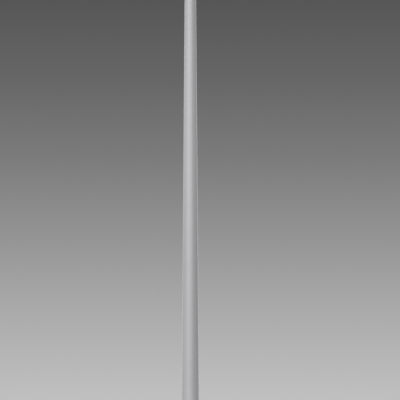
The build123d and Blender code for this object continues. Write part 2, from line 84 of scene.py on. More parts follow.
def add_node(tree, kind, **settings):
    """A new shader node with its own settings made."""
    node = tree.nodes.new(kind)
    for name, value in settings.items():
        setattr(node, name, value)
    return node


def combined(tree, operation, one, other):
    """What a math node makes of two values."""
    node = add_node(tree, "ShaderNodeMath", operation=operation)
    tree.links.new(one, node.inputs[0])
    tree.links.new(other, node.inputs[1])
    return node.outputs["Value"]


sweep_greys = (  # the sine of the angle of sight above the level, and the grey there
    (-0.45, 0.560),
    (-0.16, 0.560),
    (-0.0898, 0.527),
    (-0.0542, 0.415),
    (-0.0182, 0.300),
    (0.0178, 0.2015),
    (0.0538, 0.134),
    (0.0898, 0.093),
    (0.20, 0.078),
    (0.34, 0.10),
    (0.62, 0.42),  # the pale ceiling, from here up
    (0.90, 0.60),
)
room_grey = 0.55

world = bpy.data.worlds.new("studio_sweep")
scene.world = world
world.use_nodes = True
tree = world.node_tree
tree.nodes.clear()
link = tree.links.new

sight = add_node(tree, "ShaderNodeTexCoord")
sight_parts = add_node(tree, "ShaderNodeSeparateXYZ")
lowest, highest = sweep_greys[0][0], sweep_greys[-1][0]
climb = add_node(tree, "ShaderNodeMapRange")
climb.inputs["From Min"].default_value = lowest
climb.inputs["From Max"].default_value = highest
grade = add_node(tree, "ShaderNodeValToRGB")
while len(grade.color_ramp.elements) < len(sweep_greys):
    grade.color_ramp.elements.new(0.5)
for stop, (height, grey) in zip(grade.color_ramp.elements, sweep_greys):
    stop.position = (height - lowest) / (highest - lowest)
    stop.color = (grey, grey, grey, 1)
link(sight.outputs["Generated"], sight_parts.inputs["Vector"])
link(sight_parts.outputs["Z"], climb.inputs["Value"])
link(climb.outputs["Result"], grade.inputs["Fac"])

sweep = add_node(tree, "ShaderNodeBackground")
link(grade.outputs["Color"], sweep.inputs["Color"])
room = add_node(tree, "ShaderNodeBackground")
room.inputs["Color"].default_value = (room_grey, room_grey, room_grey, 1)

ray = add_node(tree, "ShaderNodeLightPath").outputs
seen_or_mirrored = combined(tree, "MAXIMUM", ray["Is Camera Ray"], ray["Is Glossy Ray"])
seen_at_all = combined(tree, "MAXIMUM", seen_or_mirrored, ray["Is Transmission Ray"])
surround = add_node(tree, "ShaderNodeMixShader")
world_out = add_node(tree, "ShaderNodeOutputWorld")
link(seen_at_all, surround.inputs["Fac"])
link(room.outputs["Background"], surround.inputs[1])
link(sweep.outputs["Background"], surround.inputs[2])
link(surround.outputs["Shader"], world_out.inputs["Surface"])

# ---------------------------------------------------------------------------------------------------
# Lamps. A ring of tall soft panels, two to a stand, with no gaps that the metal could mirror as dark
# stripes. The key at the front left is the brightest, and the upper row is brighter than the lower.
# ---------------------------------------------------------------------------------------------------

ring_radius = 6.0
rows = (("low", 0.2, 4.5), ("high", 4.5, 9.0))  # the row's name, and its panels' foot and head
stands = (  # azimuth from the camera's side, width, and watts of the low and of the high panel
    ("key", -24, 2.33, 21, 35),
    ("front", 9, 4.67, 29, 54),
    ("front_right", 42, 2.33, 7, 15),
    ("right", 75, 4.67, 11, 27),
    ("rear_right", 119, 4.67, 4, 18),
    ("back_right", 159, 4.67, 39, 48),
    ("back_left", -159, 4.67, 31, 38),
    ("rear_left", -122, 4.67, 21, 39),
    ("left", -79, 4.67, 27, 49),
    ("front_left", -46, 2.33, 17, 29),
)
for stand, azimuth, width, *row_watts in stands:
    for (row, foot, head), watts in zip(rows, row_watts):
        light = bpy.data.lights.new(f"{stand}_{row}", "AREA")
        light.shape = "RECTANGLE"
        light.size = width
        light.size_y = head - foot
        light.energy = watts
        panel = bpy.data.objects.new(light.name, light)
        away = Vector((sin(radians(azimuth)), -cos(radians(azimuth)), 0))
        panel.location = away * ring_radius + Vector((0, 0, (foot + head) / 2))
        panel.rotation_euler = away.to_track_quat("Z", "Y").to_euler()
        panel.visible_camera = False
        scene.collection.objects.link(panel)

# ---------------------------------------------------------------------------------------------------
# Floor. A pale painted studio floor under the base, which fades into the sweep.
# ---------------------------------------------------------------------------------------------------

floor_radius = 5.0
floor_gap = 0.0005  # under the base
bpy.ops.object.select_all(action="DESELECT")
bpy.ops.mesh.primitive_circle_add(
    vertices=128, radius=floor_radius, fill_type="NGON", location=(0, 0, cad_low.z - floor_gap)
)
floor = bpy.context.object
floor.name = floor.data.name = "studio_floor"
bpy.ops.object.transform_apply(location=True)

floor_paint = bpy.data.materials.new("floor_paint")
floor_paint.use_nodes = True
tree = floor_paint.node_tree
link = tree.links.new
paint = tree.nodes["Principled BSDF"]
paint.inputs["Base Color"].default_value = (0.62, 0.62, 0.62, 1)
paint.inputs["Roughness"].default_value = 0.9
paint.inputs["Specular IOR Level"].default_value = 0.1
place = add_node(tree, "ShaderNodeTexCoord")
reach = add_node(tree, "ShaderNodeVectorMath", operation="LENGTH")
fade = add_node(tree, "ShaderNodeMapRange", interpolation_type="SMOOTHSTEP")
fade.inputs["From Min"].default_value = 0.15 * floor_radius
fade.inputs["From Max"].default_value = 0.98 * floor_radius
fade.inputs["To Min"].default_value = 1
fade.inputs["To Max"].default_value = 0
link(place.outputs["Object"], reach.inputs[0])
link(reach.outputs["Value"], fade.inputs["Value"])
link(fade.outputs["Result"], paint.inputs["Alpha"])
floor.data.materials.append(floor_paint)

# ---------------------------------------------------------------------------------------------------
# Shaft. One seamless aluminium tube, spun to its taper, then given a satin finish by a pad that went
# round it, so its finish is fine level lines. It is clear anodised, with a little dust low down.
# ---------------------------------------------------------------------------------------------------


def new_group(name, inputs, outputs):
    """An empty shader group with these sockets: (name, kind, value) in, (name, kind) out."""
    group = bpy.data.node_groups.new(name, "ShaderNodeTree")
    for socket_name, kind, value in inputs:
        socket = group.interface.new_socket(socket_name, in_out="INPUT", socket_type=kind)
        socket.default_value = value
    for socket_name, kind in outputs:
        group.interface.new_socket(socket_name, in_out="OUTPUT", socket_type=kind)
    return group, add_node(group, "NodeGroupInput"), add_node(group, "NodeGroupOutput")


def use_group(tree, group, **values):
    """The group placed in a material, with its values set."""
    node = add_node(tree, "ShaderNodeGroup", node_tree=group)
    for name, value in values.items():
        node.inputs[name].default_value = value
    return node


def new_finish(name, colour, metallic, roughness):
    """A material with its plain values set. Gives it with its tree and shader."""
    finish = bpy.data.materials.new(name)
    finish.use_nodes = True
    shader = finish.node_tree.nodes["Principled BSDF"]
    shader.inputs["Base Color"].default_value = (*colour, 1)
    shader.inputs["Metallic"].default_value = metallic
    shader.inputs["Roughness"].default_value = roughness
    return finish, finish.node_tree, shader


def mixed_colour(tree, amount, under, over):
    """Two colours mixed by a mask. Each colour is a socket or a plain value."""
    mix = add_node(tree, "ShaderNodeMix", data_type="RGBA")
    tree.links.new(amount, mix.inputs["Factor"])
    for side, colour in ((mix.inputs[6], under), (mix.inputs[7], over)):
        if isinstance(colour, bpy.types.NodeSocket):
            tree.links.new(colour, side)
        else:
            side.default_value = (*colour, 1)
    return mix.outputs[2]


def ranged(tree, value, low, high, from_low=0.0, from_high=1.0):
    """A value brought from one range to another, and kept inside it."""
    node = add_node(tree, "ShaderNodeMapRange")
    node.inputs["From Min"].default_value = from_low
    node.inputs["From Max"].default_value = from_high
    node.inputs["To Min"].default_value = low
    node.inputs["To Max"].default_value = high
    tree.links.new(value, node.inputs["Value"])
    return node.outputs["Result"]


def new_noise(tree, scale, detail, roughness=0.5, **settings):
    """A noise texture with its values set."""
    noise = add_node(tree, "ShaderNodeTexNoise", **settings)
    noise.inputs["Scale"].default_value = scale
    noise.inputs["Detail"].default_value = detail
    noise.inputs["Roughness"].default_value = roughness
    return noise


def emboss(tree, shader, height, strength, depth):
    """Gives a surface the relief of a height, and gives the node that does it."""
    relief = add_node(tree, "ShaderNodeBump")
    relief.inputs["Strength"].default_value = strength
    relief.inputs["Distance"].default_value = depth
    tree.links.new(height, relief.inputs["Height"])
    tree.links.new(relief.outputs["Normal"], shader.inputs["Normal"])
    return relief


# fine lines left by a pad, a brush or a tool that ran across the stretch given by the scales
tool_lines, taken, given = new_group(
    "tool_lines",
    (("Place", "NodeSocketVector", (0, 0, 0)), ("Scales", "NodeSocketVector", (1, 1, 1))),
    (("Line", "NodeSocketFloat"),),
)
stretch = add_node(tool_lines, "ShaderNodeVectorMath", operation="MULTIPLY")
grain = new_noise(tool_lines, scale=1, detail=3, roughness=0.65)
tool_lines.links.new(taken.outputs["Place"], stretch.inputs[0])
tool_lines.links.new(taken.outputs["Scales"], stretch.inputs[1])
tool_lines.links.new(stretch.outputs["Vector"], grain.inputs["Vector"])
tool_lines.links.new(grain.outputs["Fac"], given.inputs["Line"])

# dust and dried splashes, thick at the ground and on what faces up, and none above the reach
ground_dust, taken, given = new_group(
    "ground_dust",
    (("Place", "NodeSocketVector", (0, 0, 0)), ("Reach", "NodeSocketFloat", 0.4)),
    (("Dust", "NodeSocketFloat"),),
)
heights = add_node(ground_dust, "ShaderNodeSeparateXYZ")
lowness = add_node(ground_dust, "ShaderNodeMapRange", interpolation_type="SMOOTHERSTEP")
lowness.inputs["To Min"].default_value = 1
lowness.inputs["To Max"].default_value = 0
splash = new_noise(ground_dust, scale=38, detail=6, roughness=0.7)
facing = add_node(ground_dust, "ShaderNodeNewGeometry")
facing_parts = add_node(ground_dust, "ShaderNodeSeparateXYZ")
settled = ranged(ground_dust, facing_parts.outputs["Z"], 0.22, 1.0)
patchy = ranged(ground_dust, splash.outputs["Fac"], 0.0, 0.8, 0.38, 0.72)
low_and_patchy = combined(ground_dust, "MULTIPLY", lowness.outputs["Result"], patchy)
all_three = combined(ground_dust, "MULTIPLY", low_and_patchy, settled)
link = ground_dust.links.new
link(taken.outputs["Place"], heights.inputs["Vector"])
link(taken.outputs["Place"], splash.inputs["Vector"])
link(taken.outputs["Reach"], lowness.inputs["From Max"])
link(heights.outputs["Z"], lowness.inputs["Value"])
link(facing.outputs["Normal"], facing_parts.inputs["Vector"])
link(all_three, given.inputs["Dust"])

dust_colour = (0.36, 0.345, 0.32)

satin_aluminium, tree, shader = new_finish(
    "satin_aluminium", colour=(0.517, 0.517, 0.529), metallic=1.0, roughness=0.40
)
link = tree.links.new
place = add_node(tree, "ShaderNodeTexCoord")
pad_marks = use_group(tree, tool_lines, Scales=(4, 4, 1400))
clouding = use_group(tree, tool_lines, Scales=(9, 9, 2.2))
dust = use_group(tree, ground_dust, Reach=0.5)
for node in (pad_marks, clouding, dust):
    link(place.outputs["Object"], node.inputs["Place"])
clean = mixed_colour(
    tree, clouding.outputs["Line"], (0.505, 0.505, 0.517), (0.529, 0.529, 0.541)
)
link(mixed_colour(tree, dust.outputs["Dust"], clean, dust_colour), shader.inputs["Base Color"])
scratched = ranged(tree, pad_marks.outputs["Line"], -0.07, 0.07)
dusted = ranged(tree, dust.outputs["Dust"], 0.40, 0.75)
link(combined(tree, "ADD", scratched, dusted), shader.inputs["Roughness"])
link(ranged(tree, dust.outputs["Dust"], 1.0, 0.35), shader.inputs["Metallic"])
marks_relief = emboss(tree, shader, pad_marks.outputs["Line"], strength=0.5, depth=0.00006)

# the outer wall faces straight out from the axis, where the tube's facets only come near to that
from_axis = add_node(tree, "ShaderNodeVectorMath", operation="MULTIPLY")
from_axis.inputs[1].default_value = (1, 1, 0)
straight_out = add_node(tree, "ShaderNodeVectorMath", operation="NORMALIZE")
facet = add_node(tree, "ShaderNodeNewGeometry")
agreement = add_node(tree, "ShaderNodeVectorMath", operation="DOT_PRODUCT")
outer_wall = add_node(tree, "ShaderNodeMath", operation="GREATER_THAN")
outer_wall.inputs[1].default_value = 0.95  # the cosine between the two
true_round = add_node(tree, "ShaderNodeMix", data_type="VECTOR")
link(place.outputs["Object"], from_axis.inputs[0])
link(from_axis.outputs["Vector"], straight_out.inputs[0])
link(straight_out.outputs["Vector"], agreement.inputs[0])
link(facet.outputs["Normal"], agreement.inputs[1])
link(agreement.outputs["Value"], outer_wall.inputs[0])
link(outer_wall.outputs["Value"], true_round.inputs["Factor"])
link(facet.outputs["Normal"], true_round.inputs[4])
link(straight_out.outputs["Vector"], true_round.inputs[5])
link(true_round.outputs[1], marks_relief.inputs["Normal"])
nodes["shaft"].material_slots[0].material = satin_aluminium

# ---------------------------------------------------------------------------------------------------
# Shoe base. A sand-cast aluminium foot with a thick square plate and a tall collar, machined only
# inside. Its skin has the sand's grain, and its edges are rubbed bright.
# ---------------------------------------------------------------------------------------------------

# where edges stand out and get rubbed, told by a softened normal that turns away from the real one
rubbed_edges, taken, given = new_group(
    "rubbed_edges",
    (("Place", "NodeSocketVector", (0, 0, 0)), ("Width", "NodeSocketFloat", 0.002)),
    (("Rubbed", "NodeSocketFloat"),),
)
softened = add_node(rubbed_edges, "ShaderNodeBevel", samples=6)
real = add_node(rubbed_edges, "ShaderNodeNewGeometry")
agreement = add_node(rubbed_edges, "ShaderNodeVectorMath", operation="DOT_PRODUCT")
breaks = new_noise(rubbed_edges, scale=160, detail=4)
turned_away = ranged(rubbed_edges, agreement.outputs["Value"], 1.0, 0.0, 0.80, 0.985)
broken_up = ranged(rubbed_edges, breaks.outputs["Fac"], 0.25, 1.0, 0.35, 0.65)
link = rubbed_edges.links.new
link(taken.outputs["Width"], softened.inputs["Radius"])
link(taken.outputs["Place"], breaks.inputs["Vector"])
link(softened.outputs["Normal"], agreement.inputs[0])
link(real.outputs["Normal"], agreement.inputs[1])
link(combined(rubbed_edges, "MULTIPLY", turned_away, broken_up), given.inputs["Rubbed"])

# the skin that a sand mould leaves: fine grain, with a few larger pits
sand_skin, taken, given = new_group(
    "sand_skin",
    (("Place", "NodeSocketVector", (0, 0, 0)),),
    (("Relief", "NodeSocketFloat"), ("Tone", "NodeSocketFloat")),
)
fine_sand = new_noise(sand_skin, scale=1100, detail=4)
pits = add_node(sand_skin, "ShaderNodeTexVoronoi", feature="F1")
pits.inputs["Scale"].default_value = 620
tone = new_noise(sand_skin, scale=26, detail=4)
pit_depth = ranged(sand_skin, pits.outputs["Distance"], 0.0, 0.5, 0.0, 0.35)
relief = add_node(sand_skin, "ShaderNodeMath", operation="MULTIPLY_ADD")
relief.inputs[1].default_value = 0.6  # of the grain, beside the pits
link = sand_skin.links.new
for node in (fine_sand, pits, tone):
    link(taken.outputs["Place"], node.inputs["Vector"])
link(fine_sand.outputs["Fac"], relief.inputs[0])
link(pit_depth, relief.inputs[2])
link(relief.outputs["Value"], given.inputs["Relief"])
link(ranged(sand_skin, tone.outputs["Fac"], 0.0, 1.0, 0.3, 0.7), given.inputs["Tone"])

# painted shade in the corners: where ambient occlusion finds them shut in, the colour is darkened towards a
# grime colour, with a ragged noise edge
corner_grime, taken, given = new_group(
    "corner_grime",
    (("Place", "NodeSocketVector", (0, 0, 0)), ("Reach", "NodeSocketFloat", 0.006)),
    (("Grime", "NodeSocketFloat"),),
)
openness = add_node(corner_grime, "ShaderNodeAmbientOcclusion", samples=8)
grime_edge = new_noise(corner_grime, scale=90, detail=5)
shut_in = ranged(corner_grime, openness.outputs["AO"], 1.0, 0.0, 0.25, 0.85)
ragged = ranged(corner_grime, grime_edge.outputs["Fac"], 0.15, 0.85, 0.3, 0.7)
link = corner_grime.links.new
link(taken.outputs["Place"], grime_edge.inputs["Vector"])
link(taken.outputs["Reach"], openness.inputs["Distance"])
link(combined(corner_grime, "MULTIPLY", shut_in, ragged), given.inputs["Grime"])

# the dark colour of the painted corner shade
grime_colour = (0.15, 0.14, 0.125)

cast_aluminium, tree, shader = new_finish(
    "cast_aluminium", colour=(0.54, 0.54, 0.55), metallic=1.0, roughness=0.52
)
link = tree.links.new
place = add_node(tree, "ShaderNodeTexCoord")
skin = use_group(tree, sand_skin)
rubbed = use_group(tree, rubbed_edges, Width=0.005)
dust = use_group(tree, ground_dust, Reach=0.3)
# painted shade: corners that ambient occlusion finds shut in are darkened in the colour
grime = use_group(tree, corner_grime, Reach=0.010)
for node in (skin, rubbed, dust, grime):
    link(place.outputs["Object"], node.inputs["Place"])
dull = mixed_colour(tree, skin.outputs["Tone"], (0.43, 0.43, 0.44), (0.55, 0.55, 0.56))
bright = mixed_colour(tree, rubbed.outputs["Rubbed"], dull, (0.72, 0.72, 0.73))
dusty = mixed_colour(tree, dust.outputs["Dust"], bright, dust_colour)
link(mixed_colour(tree, grime.outputs["Grime"], dusty, grime_colour), shader.inputs["Base Color"])
as_cast = ranged(tree, skin.outputs["Tone"], 0.40, 0.54)
smoothed = combined(tree, "SUBTRACT", as_cast, ranged(tree, rubbed.outputs["Rubbed"], 0.0, 0.18))
dusted = combined(tree, "ADD", smoothed, ranged(tree, dust.outputs["Dust"], 0.0, 0.3))
link(dusted, shader.inputs["Roughness"])
link(ranged(tree, dust.outputs["Dust"], 1.0, 0.35), shader.inputs["Metallic"])
emboss(tree, shader, skin.outputs["Relief"], strength=0.5, depth=0.00018)
nodes["shoe_base"].material_slots[0].material = cast_aluminium

# ---------------------------------------------------------------------------------------------------
# Welds. The collar's bead is a row of overlapping ripples laid by hand round the shaft, and another
# goes round the hand hole's frame. The one under the shaft's foot is plain. All are aluminium.
# ---------------------------------------------------------------------------------------------------

weld_metal, tree, shader = new_finish(
    "weld_metal", colour=(0.56, 0.56, 0.565), metallic=1.0, roughness=0.42
)
link = tree.links.new
place = add_node(tree, "ShaderNodeTexCoord")
mottle = use_group(tree, tool_lines, Scales=(260, 260, 260))
rubbed = use_group(tree, rubbed_edges, Width=0.0008)
# painted shade: corners that ambient occlusion finds shut in are darkened in the colour
grime = use_group(tree, corner_grime, Reach=0.004)
for node in (mottle, rubbed, grime):
    link(place.outputs["Object"], node.inputs["Place"])
oxide = mixed_colour(tree, mottle.outputs["Line"], (0.42, 0.42, 0.43), (0.62, 0.62, 0.62))
crowns = mixed_colour(tree, rubbed.outputs["Rubbed"], oxide, (0.74, 0.74, 0.74))
link(mixed_colour(tree, grime.outputs["Grime"], crowns, grime_colour), shader.inputs["Base Color"])
link(ranged(tree, mottle.outputs["Line"], 0.34, 0.52), shader.inputs["Roughness"])
nodes["foot_weld"].material_slots[0].material = weld_metal


def start_piece(add_primitive, name, **sizes):
    """Adds a primitive, with nothing else selected, and names it."""
    bpy.ops.object.select_all(action="DESELECT")
    add_primitive(**sizes)
    piece = bpy.context.object
    piece.name = piece.data.name = name
    return piece


def pick(piece, kind, wanted):
    """In edit mode, selects just the vertices, edges or faces whose middle passes the test."""
    bpy.ops.mesh.select_mode(type=kind)
    bpy.ops.mesh.select_all(action="DESELECT")
    mesh = bmesh.from_edit_mesh(piece.data)
    items = {"VERT": mesh.verts, "EDGE": mesh.edges, "FACE": mesh.faces}[kind]
    for item in items:
        corners = [item] if kind == "VERT" else item.verts
        middle = sum((corner.co for corner in corners), Vector()) / len(corners)
        if wanted(middle):
            item.select_set(True)
    mesh.select_flush_mode()
    bmesh.update_edit_mesh(piece.data)


def settle(piece, finish):
    """Puts a piece's place into its mesh, gives it its finish, and fixes it to the pole."""
    bpy.ops.object.select_all(action="DESELECT")
    piece.select_set(True)
    bpy.context.view_layer.objects.active = piece
    bpy.ops.object.transform_apply(location=True, rotation=True, scale=True)
    piece.data.materials.clear()
    piece.data.materials.append(finish)
    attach(piece, "root")


ripple = (0.0, 0.035, 0.055, 0.025)  # how much fatter the bead is at each point, over and over
sway = 0.02  # how much the welder's hand made it fatter or thinner, slowly, on the way round


def lay_bead(path, radius):
    """Turns a closed line of short edges into a weld bead, rippled and a little uneven."""
    bpy.ops.object.convert(target="CURVE")
    path.data.bevel_depth = radius
    path.data.bevel_resolution = 3
    for number, point in enumerate(path.data.splines[0].points):
        fatter = sway * sin(0.071 * number) * sin(0.23 * number)
        point.radius = 1 + ripple[number % len(ripple)] + fatter
    bpy.ops.object.convert(target="MESH")
    bpy.ops.object.mode_set(mode="EDIT")
    bpy.ops.mesh.select_all(action="SELECT")
    bpy.ops.mesh.remove_doubles(threshold=1e-6)
    bpy.ops.mesh.normals_make_consistent(inside=False)
    bpy.ops.object.mode_set(mode="OBJECT")
    bpy.ops.object.shade_smooth()


weld_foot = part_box("collar_weld")[0].z
shaft_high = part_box("shaft")[1]
butt_radius = shaft_high.x
collar_bead_radius = 0.0041
collar_bead_out, collar_bead_up = 0.0012, 0.0009  # its middle, from the shaft and the weld's foot
collar_bead = start_piece(
    bpy.ops.mesh.primitive_circle_add,
    "collar_bead",
    vertices=480,
    radius=butt_radius + collar_bead_out,
    location=(0, 0, weld_foot + collar_bead_up),
)
lay_bead(collar_bead, collar_bead_radius)
settle(collar_bead, weld_metal)
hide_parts("collar_weld")

frame_low, frame_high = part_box("hatch_frame")
frame_middle = (frame_low.z + frame_high.z) / 2
frame_straight = (frame_high.z - frame_low.z) / 2 - frame_high.x  # half of its straight sides
hatch_bead_radius = 0.0020
hatch_bead_out = 0.0006  # from the frame's edge to the bead's middle
hatch_bead = start_piece(
    bpy.ops.mesh.primitive_circle_add,
    "hatch_bead",
    vertices=320,
    radius=frame_high.x + hatch_bead_out,
    location=(0, 1.5 * frame_low.y, frame_middle),
    rotation=(pi / 2, 0, 0),
)
bpy.ops.object.transform_apply(location=True, rotation=True)
bpy.ops.object.mode_set(mode="EDIT")
for side in (-1, 1):
    pick(hatch_bead, "VERT", lambda at: side * (at.z - frame_middle) > 1e-5)
    bpy.ops.transform.translate(value=(0, 0, side * frame_straight))
pick(hatch_bead, "EDGE", lambda at: abs(at.z - frame_middle) < 0.9 * frame_straight)
bpy.ops.mesh.subdivide(number_cuts=79)
bpy.ops.object.mode_set(mode="OBJECT")
tube_form = start_piece(
    bpy.ops.mesh.primitive_cylinder_add,
    "tube_form",
    vertices=256,
    radius=butt_radius,
    depth=6 * frame_straight,
    location=(0, 0, frame_middle),
)
bpy.context.view_layer.objects.active = hatch_bead
tube_form.select_set(False)
hatch_bead.select_set(True)
wrap = hatch_bead.modifiers.new("wrap", "SHRINKWRAP")
wrap.target = tube_form
wrap.wrap_method = "PROJECT"
wrap.use_project_y = True
bpy.ops.object.modifier_apply(modifier=wrap.name)
bpy.data.objects.remove(tube_form)
lay_bead(hatch_bead, hatch_bead_radius)
settle(hatch_bead, weld_metal)

# ---------------------------------------------------------------------------------------------------
# Nut covers. Four cast aluminium caps over the anchor nuts, each held down by a stainless screw into
# the anchor's end. The screws have a domed head with a hexagon socket, over a flange.
# ---------------------------------------------------------------------------------------------------

for name in ("front_left", "front_right", "back_left", "back_right"):
    nodes[f"nut_cover_{name}"].material_slots[0].material = cast_aluminium

# what every small stainless part is finished with: pickled, a little uneven, and bright on its edges
pickled_steel, tree, shader = new_finish(
    "pickled_steel", colour=(0.56, 0.56, 0.565), metallic=1.0, roughness=0.34
)
link = tree.links.new
place = add_node(tree, "ShaderNodeTexCoord")
mottle = use_group(tree, tool_lines, Scales=(420, 420, 420))
stains = use_group(tree, tool_lines, Scales=(70, 70, 24))
rubbed = use_group(tree, rubbed_edges, Width=0.0004)
for node in (mottle, stains, rubbed):
    link(place.outputs["Object"], node.inputs["Place"])
plain = mixed_colour(tree, stains.outputs["Line"], (0.48, 0.475, 0.47), (0.62, 0.62, 0.625))
link(mixed_colour(tree, rubbed.outputs["Rubbed"], plain, (0.76, 0.76, 0.765)), shader.inputs["Base Color"])
link(ranged(tree, mottle.outputs["Line"], 0.26, 0.44), shader.inputs["Roughness"])


def cut_with(piece, tool, operation):
    """Cuts a piece by a tool, or leaves what the two share, then puts the tool away."""
    cut = piece.modifiers.new("cut", "BOOLEAN")
    cut.object = tool
    cut.operation = operation
    bpy.ops.object.select_all(action="DESELECT")
    piece.select_set(True)
    bpy.context.view_layer.objects.active = piece
    bpy.ops.object.modifier_apply(modifier=cut.name)
    bpy.data.objects.remove(tool)


def socket_head(name, radius, height, dome, socket_radius, flange=0.0, sides=6):
    """A round head with a blind socket in its top, centred on the origin, and a flange under it or none."""
    head = start_piece(
        bpy.ops.mesh.primitive_cylinder_add, name, vertices=48, radius=radius, depth=height
    )
    bpy.ops.object.mode_set(mode="EDIT")
    pick(head, "EDGE", lambda at: at.z > 0.499 * height)
    bpy.ops.mesh.bevel(offset=dome, segments=5, affect="EDGES")
    if flange:
        thick = 0.3 * height  # of the flange
        pick(head, "FACE", lambda at: at.z < -0.499 * height)
        bpy.ops.mesh.extrude_region_move()
        bpy.ops.transform.resize(value=(flange, flange, 1), center_override=(0, 0, -height / 2))
        bpy.ops.mesh.extrude_region_move(TRANSFORM_OT_translate={"value": (0, 0, -thick)})
        pick(head, "EDGE", lambda at: hypot(at.x, at.y) > 0.99 * flange * radius and at.z < -0.6 * height)
        bpy.ops.mesh.bevel(offset=0.2 * thick, segments=2, affect="EDGES")
    bpy.ops.object.mode_set(mode="OBJECT")
    socket = start_piece(
        bpy.ops.mesh.primitive_cylinder_add,
        "socket",
        vertices=sides,
        radius=socket_radius,
        depth=1.2 * height,
        location=(0, 0, height / 2),
    )
    cut_with(head, socket, "DIFFERENCE")
    bpy.ops.object.shade_smooth_by_angle(angle=radians(35))
    return head


def fit(piece, at, facing, finish):
    """Sets a piece that was made upright on the origin in its place, with its top facing the way given."""
    piece.location = at
    piece.rotation_euler = Vector(facing).to_track_quat("Z", "Y").to_euler()
    settle(piece, finish)


def fit_copies(pattern, places, finish):
    """Fits copies of a pattern piece, each with its own mesh, then puts the pattern away."""
    for number, (at, facing) in enumerate(places, 1):
        piece = pattern.copy()
        piece.data = pattern.data.copy()
        piece.name = piece.data.name = f"{pattern.name}_{number}"
        scene.collection.objects.link(piece)
        fit(piece, at, facing, finish)
    bpy.data.objects.remove(pattern)


cover_low, cover_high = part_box("nut_cover_front_right")
cover_x = (cover_low.x + cover_high.x) / 2
up = (0, 0, 1)
cover_screw = socket_head(
    "cover_screw", radius=0.0068, height=0.0044, dome=0.0026, socket_radius=0.0030, flange=1.4
)
head_z = cover_high.z + 0.0034  # of the head's middle, over its flange
fit_copies(
    cover_screw,
    [((x, y, head_z), up) for x in (-cover_x, cover_x) for y in (-cover_x, cover_x)],
    pickled_steel,
)

# ---------------------------------------------------------------------------------------------------
# Hand hole. A reinforcing ring cut from thick tube, and a door cut from the same tube, both brushed
# along the pole. The door hooks in at its foot and a cam lock holds its head.
# ---------------------------------------------------------------------------------------------------

brushed_aluminium, tree, shader = new_finish(
    "brushed_aluminium", colour=(0.50, 0.50, 0.51), metallic=1.0, roughness=0.38
)
link = tree.links.new
place = add_node(tree, "ShaderNodeTexCoord")
brush_marks = use_group(tree, tool_lines, Scales=(1300, 1300, 14))
clouding = use_group(tree, tool_lines, Scales=(14, 14, 6))
rubbed = use_group(tree, rubbed_edges, Width=0.0010)
for node in (brush_marks, clouding, rubbed):
    link(place.outputs["Object"], node.inputs["Place"])
plain = mixed_colour(tree, clouding.outputs["Line"], (0.46, 0.46, 0.47), (0.53, 0.53, 0.54))
link(mixed_colour(tree, rubbed.outputs["Rubbed"], plain, (0.66, 0.66, 0.67)), shader.inputs["Base Color"])
link(ranged(tree, brush_marks.outputs["Line"], 0.30, 0.48), shader.inputs["Roughness"])
emboss(tree, shader, brush_marks.outputs["Line"], strength=0.3, depth=0.00005)
nodes["hatch_frame"].material_slots[0].material = brushed_aluminium
nodes["hatch_door"].material_slots[0].material = brushed_aluminium

# rings that a lathe leaves round an axis through the centre, on the ends and the sides alike
turned_rings, taken, given = new_group(
    "turned_rings",
    (
        ("Place", "NodeSocketVector", (0, 0, 0)),
        ("Centre", "NodeSocketVector", (0, 0, 0)),
        ("Along", "NodeSocketVector", (0, 0, 1)),
        ("Fineness", "NodeSocketFloat", 1600),
        ("Outward", "NodeSocketFloat", 1),
    ),
    (("Ring", "NodeSocketFloat"), ("Out", "NodeSocketFloat")),
)
from_centre = add_node(turned_rings, "ShaderNodeVectorMath", operation="SUBTRACT")
run = add_node(turned_rings, "ShaderNodeVectorMath", operation="DOT_PRODUCT")
run_vector = add_node(turned_rings, "ShaderNodeVectorMath", operation="SCALE")
outward = add_node(turned_rings, "ShaderNodeVectorMath", operation="SUBTRACT")
out = add_node(turned_rings, "ShaderNodeVectorMath", operation="LENGTH")
travel = add_node(turned_rings, "ShaderNodeMath", operation="MULTIPLY_ADD")
pitch = combined(turned_rings, "MULTIPLY", travel.outputs["Value"], taken.outputs["Fineness"])
rings = new_noise(turned_rings, scale=1, detail=3, noise_dimensions="1D")
link = turned_rings.links.new
link(taken.outputs["Place"], from_centre.inputs[0])
link(taken.outputs["Centre"], from_centre.inputs[1])
link(from_centre.outputs["Vector"], run.inputs[0])
link(taken.outputs["Along"], run.inputs[1])
link(taken.outputs["Along"], run_vector.inputs[0])
link(run.outputs["Value"], run_vector.inputs["Scale"])
link(from_centre.outputs["Vector"], outward.inputs[0])
link(run_vector.outputs["Vector"], outward.inputs[1])
link(outward.outputs["Vector"], out.inputs[0])
link(out.outputs["Value"], travel.inputs[0])
link(taken.outputs["Outward"], travel.inputs[1])
link(run.outputs["Value"], travel.inputs[2])
link(pitch, rings.inputs["W"])
link(rings.outputs["Fac"], given.inputs["Ring"])
link(out.outputs["Value"], given.inputs["Out"])


def turned_finish(
    name, dark, bright, centre, along, smooth, rough, fineness=1600, metallic=1.0, outward=1, groove=4e-5
):
    """The finish that a lathe leaves about an axis, between two colours and two roughnesses."""
    finish, tree, shader = new_finish(name, dark, metallic, rough)
    link = tree.links.new
    place = add_node(tree, "ShaderNodeTexCoord")
    rings = use_group(
        tree, turned_rings, Centre=centre, Along=along, Fineness=fineness, Outward=outward
    )
    stains = use_group(tree, tool_lines, Scales=(60, 60, 18))
    rubbed = use_group(tree, rubbed_edges, Width=0.0006)
    for node in (rings, stains, rubbed):
        link(place.outputs["Object"], node.inputs["Place"])
    plain = mixed_colour(tree, stains.outputs["Line"], dark, bright)
    worn = tuple(min(1.0, 1.15 * part) for part in bright)
    link(mixed_colour(tree, rubbed.outputs["Rubbed"], plain, worn), shader.inputs["Base Color"])
    link(ranged(tree, rings.outputs["Ring"], smooth, rough), shader.inputs["Roughness"])
    emboss(tree, shader, rings.outputs["Ring"], strength=0.25, depth=groove)
    return finish


